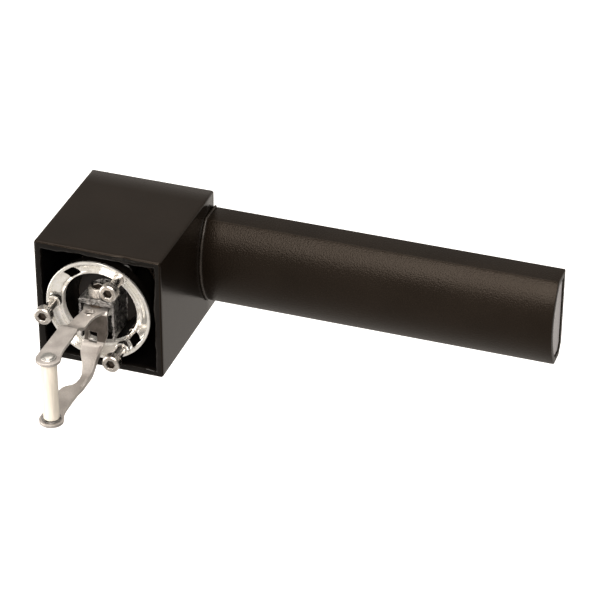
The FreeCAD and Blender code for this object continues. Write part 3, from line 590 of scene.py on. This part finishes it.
def locating_dowel():
    bm = bmesh.new()
    across, up = on_circle(DOWEL_CIRCLE, DOWEL_ANGLE)
    rows = [(0.0, 0.4), (0.06, 0.56), (0.3, 0.73), (0.5, 0.75), (DOWEL_FACE, 0.75)]
    rows += [(DOWEL_FACE, 0.93), (9.2, 0.93), (9.4, 0.7)]
    turned(bm, rows, (across, -DOWEL_FACE, up), (0, 1, 0), steps=40)
    piece("dowel", bm, "flange", "steel", "locating_dowel", sharp=35)


# ---------------------------------------------------------------- hub


PIVOT_Y = 0.8


def block(bm, outline, start, end):
    """A plate from an outline of (across, up), between two depths."""
    skin(bm, [[(x, y, z) for x, z in outline] for y in (start, end)])


def corner_loop(left, right, low, high, low_round, high_round, steps=6):
    """Outline of a rectangle with rounded corners, as (across, up)."""
    points = []
    for x, z, radius, start in ((right, low, low_round, 270), (right, high, high_round, 0),
                                (left, high, high_round, 90), (left, low, low_round, 180)):
        across = x - radius if x == right else x + radius
        up = z + radius if z == low else z - radius
        for k in range(steps + 1):
            a = math.radians(start + 90 * k / steps)
            points.append((across + radius * math.cos(a), up + radius * math.sin(a)))
    return points


def remesh(obj, voxel, smooth):
    """Fuses the parts of a piece into one skin with soft edges, and applies it. Materials are kept."""
    fuse = obj.modifiers.new("fuse", "REMESH")
    fuse.mode = "VOXEL"
    fuse.voxel_size = voxel * MM
    soft = obj.modifiers.new("soft", "SMOOTH")
    soft.iterations = smooth
    soft.factor = 0.5
    mesh, materials = applied(obj), list(obj.data.materials)
    obj.data = mesh
    mesh.materials.clear()
    for mat in materials:
        mesh.materials.append(mat)
    shade_smooth(mesh)


def drive_hub():
    """Rough casting: a block with an open recess below its top bar, and the journal behind."""
    bm = bmesh.new()
    block(bm, corner_loop(-5.15, 6.25, -9.85, 5.25, 3.4, 1.2), -2.45, 8.0)
    obj = piece("hub_casting", bm, "lever", "cast", "drive_hub")
    recess = tool_box(size=(9.5, 8.0, 14.4), centre=(0.55, 0.0, -3.9), rotation=Matrix.Identity(4))
    bolt_hole = tool_rod(radius=4.4, centre=(0, 8.0, 0), axis=(0, 1, 0), length=10.0)
    pivot_hole = tool_rod(radius=1.52, centre=(0, PIVOT_Y, 4.5), axis=(0, 0, 1), length=6.0)
    cut(obj, recess, bolt_hole, pivot_hole)
    remesh(obj, voxel=0.2, smooth=3)
    mesh = obj.data
    for vertex in mesh.vertices:
        p = vertex.co / MM
        lump = 0.30 * rough(p.x, p.y, p.z, 0.5, 2.0) + 0.24 * rough(p.x, p.y, p.z, 1.2, 5.0)
        lump += 0.12 * rough(p.x, p.y, p.z, 2.6, 8.0) - 0.15
        vertex.co = vertex.co + vertex.normal * min(lump, 0.03) * MM
    # Faces in the recess take the dark wet coat: painted shade in the recess.
    mesh.materials.append(MATS["wet_coat_and_shade"])
    for face in mesh.polygons:
        x, y, z = face.center / MM
        in_recess = -4.5 < x < 5.45 and -2.1 < y < 4.8 and -12 < z < 3.4
        if in_recess:
            face.material_index = 1


def hub_tail():
    """The turned journal and square tail behind the hub's block."""
    bm = bmesh.new()
    rows = [(7.9, 6.2), (8.0, 6.42), (15.3, 6.42), (15.4, 6.2)]
    turned(bm, rows, (0, 0, 0), (0, 1, 0), steps=96)
    block(bm, corner_loop(-4.45, 4.45, -4.45, 4.45, 0.4, 0.4, 4), 15.3, 27.0)
    piece("hub_journal", bm, "lever", "cast", sharp=35)


def pivot_screw():
    bm = bmesh.new()
    cap_screw(bm, (0, PIVOT_Y, 8.3), (0, 0, -1), M3_RADIUS, length=11.0, plain=2.2)
    piece("pivot_cap_screw", bm, "lever", "steel", "pivot_screw", mats=SCREW_MATS, sharp=30)


# ---------------------------------------------------------------- yoke


def curve_through(points, steps=5):
    """Smooth line through points given as tuples, with that many steps between two of them."""
    given = [Vector(p) for p in points]
    padded = [given[0] * 2 - given[1]] + given + [given[-1] * 2 - given[-2]]
    out = []
    for a, b, c, d in zip(padded, padded[1:], padded[2:], padded[3:]):
        for k in range(steps):
            t = k / steps
            square, cube = 2 * a - 5 * b + 4 * c - d, 3 * b - a - 3 * c + d
            out.append(0.5 * (2 * b + (c - a) * t + square * t * t + cube * t ** 3))
    return out + [given[-1]]


def strip(bm, stations):
    """Bent sheet. A station is (behind the panel face, up, left edge, right edge) on its upper face."""
    across = 10
    upper, lower = [], []
    for k, (y, z, left, right) in enumerate(stations):
        before, after = stations[max(0, k - 1)], stations[min(len(stations) - 1, k + 1)]
        along = Vector((0, after[0] - before[0], after[1] - before[1])).normalized()
        down = Vector((0, along.z, -along.y)) * -1
        if down.dot(Vector((0, 1, -1))) < 0:
            down.negate()
        row = [Vector((left + (right - left) * i / across, y, z)) for i in range(across + 1)]
        upper.append(row)
        lower.append([p + down * SHEET for p in row])
    skin(bm, [top + bottom[::-1] for top, bottom in zip(upper, lower)])


EYE_Y, EYE_R, EYE_UP, PLATE_LOW = -36.0, 3.7, 6.0, -15.1
NECK_HOLE = (-0.6, -4.8)
WASHER = 0.4


def with_eye(stations, z):
    """Adds the eye's round end to a strip that stops at the eye's centre."""
    for k in range(1, 13):
        a = math.pi / 2 * k / 12
        half = max(0.12, EYE_R * math.cos(a))
        stations.append((EYE_Y - EYE_R * math.sin(a), z, -half, half))
    return stations


def yoke():
    """Bent sheet: neck, upper arm with its ramp, web with a window, and the curved lower arm."""
    bm = bmesh.new()
    neck = 2.3
    upper = curve_through([
        (3.0, neck, -2.5, 2.5), (0.8, neck, -3.9, 4.0), (-2.0, neck, -3.6, 3.9), (-3.6, neck, -3.0, 3.0),
        (-6.0, neck, -3.2, 1.9), (-9.0, neck, -3.6, 1.4), (-12.0, neck, -3.9, 1.3),
        (-13.4, neck + 0.35, -3.9, 1.3), (-16.1, 4.2, -3.8, 1.35), (-18.9, 5.75, -3.7, 1.8),
        (-20.2, EYE_UP, -3.65, 2.2), (-24.0, EYE_UP, -3.6, 2.4), (-31.0, EYE_UP, -3.65, 2.5),
        (-34.0, EYE_UP, -3.65, 3.2), (EYE_Y, EYE_UP, -EYE_R, EYE_R)])
    strip(bm, with_eye([tuple(p) for p in upper], EYE_UP))
    lower = curve_through([
        (-1.0, neck - 0.02, -3.0, 4.1), (-2.2, neck - 0.25, -3.0, 4.2), (-3.0, neck - 1.0, -3.0, 4.25),
        (-3.2, neck - 2.2, -3.0, 4.3), (-3.2, -2.5, -3.0, 4.25), (-3.2, -6.0, -3.1, 4.1),
        (-3.25, -8.4, -3.4, 3.4), (-3.6, -10.0, -4.0, 2.8), (-5.0, -11.1, -3.9, 2.6),
        (-7.2, -12.0, -2.9, 2.6), (-9.2, -13.4, -1.7, 2.6), (-11.2, -14.75, -1.0, 2.6),
        (-13.2, PLATE_LOW, -0.6, 2.6), (-15.6, PLATE_LOW, -0.6, 2.6), (-17.6, PLATE_LOW, -1.1, 2.6),
        (-19.4, PLATE_LOW, -3.0, 2.5), (-21.6, PLATE_LOW, -3.8, 2.2), (-26.0, PLATE_LOW, -3.8, 2.1),
        (-31.5, PLATE_LOW, -3.75, 2.3), (-34.0, PLATE_LOW, -3.7, 3.1), (EYE_Y, PLATE_LOW, -EYE_R, EYE_R)])
    strip(bm, with_eye([tuple(p) for p in lower], PLATE_LOW))
    rib = curve_through([
        (-3.3, -9.6, -11.4), (-5.0, -10.1, -12.1), (-7.6, -10.9, -13.4), (-9.8, -12.3, -15.1),
        (-12.0, -13.8, -16.0), (-15.5, -14.4, -16.0), (-18.6, -15.2, -16.0)])
    left, right = 1.75, 2.6
    skin(bm, [[(left, y, top), (right, y, top), (right, y, low), (left, y, low)] for y, top, low in rib])
    obj = piece("yoke_bent_sheet", bm, "yoke", "yoke_sheet", "yoke")
    remesh(obj, voxel=0.14, smooth=4)
    hole = tool_rod(radius=1.3, centre=(*NECK_HOLE, 1.8), axis=(0, 0, 1), length=4.0)
    pivot = tool_rod(radius=1.6, centre=(0, PIVOT_Y, 1.8), axis=(0, 0, 1), length=4.0)
    opening = tool_box(size=(2.7, 3.0, 3.8), centre=(-0.45, -2.7, -7.3),
                       rotation=Matrix.Rotation(math.radians(4), 4, "Y"))
    cut(obj, hole, pivot, opening)
    shade_smooth(obj.data, 40)
    # Faces on the web's front take the darker copy of the sheet: painted shade under the neck and upper arm.
    obj.data.materials.append(MATS["yoke_web_painted_shade"])
    for face in obj.data.polygons:
        y, z = face.center.y / MM, face.center.z / MM
        on_web_front = face.normal.y < -0.75 and -8.6 < z < 0.9 and y > -4.2
        if on_web_front:
            face.material_index = 1


def neck_burr():
    """The raised edge left round the punched hole in the neck."""
    bm = bmesh.new()
    rows = [(2.24, 1.62), (2.38, 1.55), (2.46, 1.42), (2.42, 1.3), (2.2, 1.27), (1.6, 1.3), (1.6, 1.6)]
    wavy = [(h, lambda t, r=r: r + 0.05 * math.sin(3 * t + 1) + 0.03 * math.sin(7 * t)) for h, r in rows]
    turned(bm, wavy, (*NECK_HOLE, 0), (0, 0, 1), steps=48, hollow=True)
    piece("neck_burr", bm, "yoke", "yoke_sheet", mats=(MATS["steel"],), sharp=40)


def cross_pin():
    """Riveted pin: low domed head with a rolled edge above, spread tail below."""
    bm = bmesh.new()
    rows = [(-16.7, 0.2), (-16.7, 1.7), (-16.5, 2.1), (-16.1, 2.3), (-16.1, 1.5), (5.95, 1.5), (5.95, 2.3)]
    rows += [(6.12, 2.34), (6.3, 2.22), (6.36, 2.0), (6.32, 1.85)]
    for k in range(9):
        a = math.pi / 2 * (8 - k) / 9
        rows.append((6.32 + 0.56 * math.cos(a), 1.85 * math.sin(a)))
    turned(bm, [(h, max(r, 0.02)) for h, r in rows], (0, EYE_Y, 0), (0, 0, 1), steps=64)
    piece("cross_pin_riveted", bm, "yoke", "steel", "cross_pin", mats=(MATS["zinc_steel"],), sharp=35)


def pin_washers():
    bm = bmesh.new()
    for low in (PLATE_LOW, EYE_UP - SHEET - WASHER):
        high = low + WASHER
        rows = [(low, 1.6), (low, 2.8), (low + 0.08, 2.9), (low + 0.32, 2.9), (high, 2.8), (high, 1.6)]
        turned(bm, rows, (0, EYE_Y, 0), (0, 0, 1), steps=64, hollow=True)
    piece("pin_shims", bm, "yoke", "cast", "pin_washers", sharp=35)


def roller_sleeve():
    bm = bmesh.new()
    low, high = PLATE_LOW + 0.5, EYE_UP - SHEET - 0.5
    rows = [(low, 1.62), (low, 2.2), (low + 0.06, 2.32), (low + 0.22, 2.4)]
    rows += [(low + 0.3 + (high - low - 0.6) * k / 10, 2.4) for k in range(11)]
    rows += [(high - 0.22, 2.4), (high - 0.06, 2.32), (high, 2.2), (high, 1.62)]
    turned(bm, rows, (0, EYE_Y, 0), (0, 0, 1), steps=96, hollow=True)
    piece("roller_ground", bm, "roller", "roller", "roller_sleeve", sharp=35)


for build in (head_shell, grip_tube, grip_end_cap, grip_joint_plate, flange_ring, screw_posts, panel_screws,
              locating_dowel, drive_hub, hub_tail, pivot_screw, yoke, neck_burr, cross_pin, pin_washers,
              roller_sleeve):
    build()

# The inner pieces keep their CAD shape and take their slot's material, apart from these darker ones.
DARKER = {"friction_washer": "fibre", "pivot_nut": "socket", "pivot_spacer": "socket", "stop_plate": "socket",
          "mounting_boss": "socket"}
slots = {entry["node"]: entry["material_slot"] for entry in frame["record"]["subparts"]}
for node, obj in frame["nodes"].items():
    if not obj.hide_render:
        obj.data.materials.clear()
        obj.data.materials.append(MATS[DARKER.get(node, slots[node])])


# ---------------------------------------------------------------- studio


WARM = (1.0, 0.935, 0.865)


def area_light(name, place, target, size, power):
    data = bpy.data.lights.new(name, "AREA")
    data.shape = "RECTANGLE"
    data.size, data.size_y = size
    data.energy = power
    data.color = WARM
    light = bpy.data.objects.new(name, data)
    scene.collection.objects.link(light)
    light.visible_camera = False
    light.location = place
    light.rotation_euler = (Vector(target) - Vector(place)).to_track_quat("-Z", "Y").to_euler()


centre = (0.04, 0.02, 0.0)
area_light("front_high", (0.06, -0.62, 0.50), centre, (0.62, 0.5), 5.6)
area_light("above", (-0.05, 0.12, 0.70), centre, (0.7, 0.6), 2.4)
area_light("left", (-0.55, -0.30, -0.02), centre, (0.5, 0.6), 2.2)
area_light("end_fill", (0.22, -0.02, 0.05), (0.13, 0.035, 0.0), (0.06, 0.06), 0.016)

FLOOR, REACH = -0.17, 4
floor_mesh = bpy.data.meshes.new("floor")
floor_mesh.from_pydata([(-REACH, -REACH, FLOOR), (REACH, -REACH, FLOOR), (REACH, REACH, FLOOR),
                        (-REACH, REACH, FLOOR)], [], [(0, 1, 2, 3)])
floor = bpy.data.objects.new("floor", floor_mesh)
scene.collection.objects.link(floor)
pale = bpy.data.materials.new("pale_floor")
pale.use_nodes = True
paint = pale.node_tree.nodes["Principled BSDF"]
paint.inputs["Base Color"].default_value = (0.93, 0.93, 0.92, 1)
paint.inputs["Roughness"].default_value = 0.9
paint.inputs["Emission Color"].default_value = (1, 1, 1, 1)
paint.inputs["Emission Strength"].default_value = 0.85
floor_mesh.materials.append(pale)
floor.visible_diffuse = False
floor.visible_glossy = False
floor.visible_shadow = False


DARK_SIDE = Vector((-0.27, -0.80, -0.54))


def studio_world():
    """Pale surround, brighter below and dimmer low in front and to the right. White as a backdrop."""
    world = bpy.data.worlds.new("studio")
    scene.world = world
    world.use_nodes = True
    nodes, links = world.node_tree.nodes, world.node_tree.links
    where = nodes.new("ShaderNodeTexCoord")
    parts = nodes.new("ShaderNodeSeparateXYZ")
    links.new(where.outputs["Generated"], parts.inputs["Vector"])

    def ramp(value, low, high, first, last):
        node = nodes.new("ShaderNodeMapRange")
        node.interpolation_type = "SMOOTHSTEP"
        for name, number in (("From Min", low), ("From Max", high), ("To Min", first), ("To Max", last)):
            node.inputs[name].default_value = number
        links.new(value, node.inputs["Value"])
        return node.outputs["Result"]

    towards = nodes.new("ShaderNodeVectorMath")
    towards.operation = "DOT_PRODUCT"
    links.new(where.outputs["Generated"], towards.inputs[0])
    towards.inputs[1].default_value = DARK_SIDE.normalized()
    patch = ramp(towards.outputs["Value"], low=0.72, high=0.98, first=1.0, last=0.8)
    height = ramp(parts.outputs["Z"], low=-0.15, high=0.25, first=0.7, last=0.40)
    right = ramp(parts.outputs["X"], low=0.46, high=0.84, first=1.0, last=0.25)

    def times(a, b):
        node = nodes.new("ShaderNodeMath")
        node.operation = "MULTIPLY"
        links.new(a, node.inputs[0])
        links.new(b, node.inputs[1])
        return node.outputs["Value"]

    surround = times(times(patch, height), right)
    seen = nodes.new("ShaderNodeLightPath")
    backdrop = nodes.new("ShaderNodeMix")
    links.new(seen.outputs["Is Camera Ray"], backdrop.inputs["Factor"])
    links.new(surround, backdrop.inputs["A"])
    backdrop.inputs["B"].default_value = 1.0
    links.new(backdrop.outputs["Result"], nodes["Background"].inputs["Strength"])
    tint = nodes.new("ShaderNodeMix")
    tint.data_type = "RGBA"
    tint.inputs["A"].default_value = (*WARM, 1)
    tint.inputs["B"].default_value = (1, 1, 1, 1)
    links.new(seen.outputs["Is Camera Ray"], tint.inputs["Factor"])
    links.new(tint.outputs["Result"], nodes["Background"].inputs["Color"])


studio_world()

# ---------------------------------------------------------------- camera

CAMERA_PLACE = Vector((0.28148, -0.63648, 0.44431))
FORWARD = Vector((-0.27361, 0.79862, -0.53604))
RIGHT = Vector((0.94554, 0.32550, 0.00231))
data = bpy.data.cameras.new("camera")
data.lens = 166.68
data.sensor_width = 36
data.clip_end = 10
camera = bpy.data.objects.new("camera", data)
scene.collection.objects.link(camera)
facing = Matrix((RIGHT, RIGHT.cross(FORWARD), -FORWARD)).transposed().to_4x4()
camera.matrix_world = Matrix.Translation(CAMERA_PLACE) @ facing
scene.camera = camera
scene.view_settings.view_transform = "Standard"
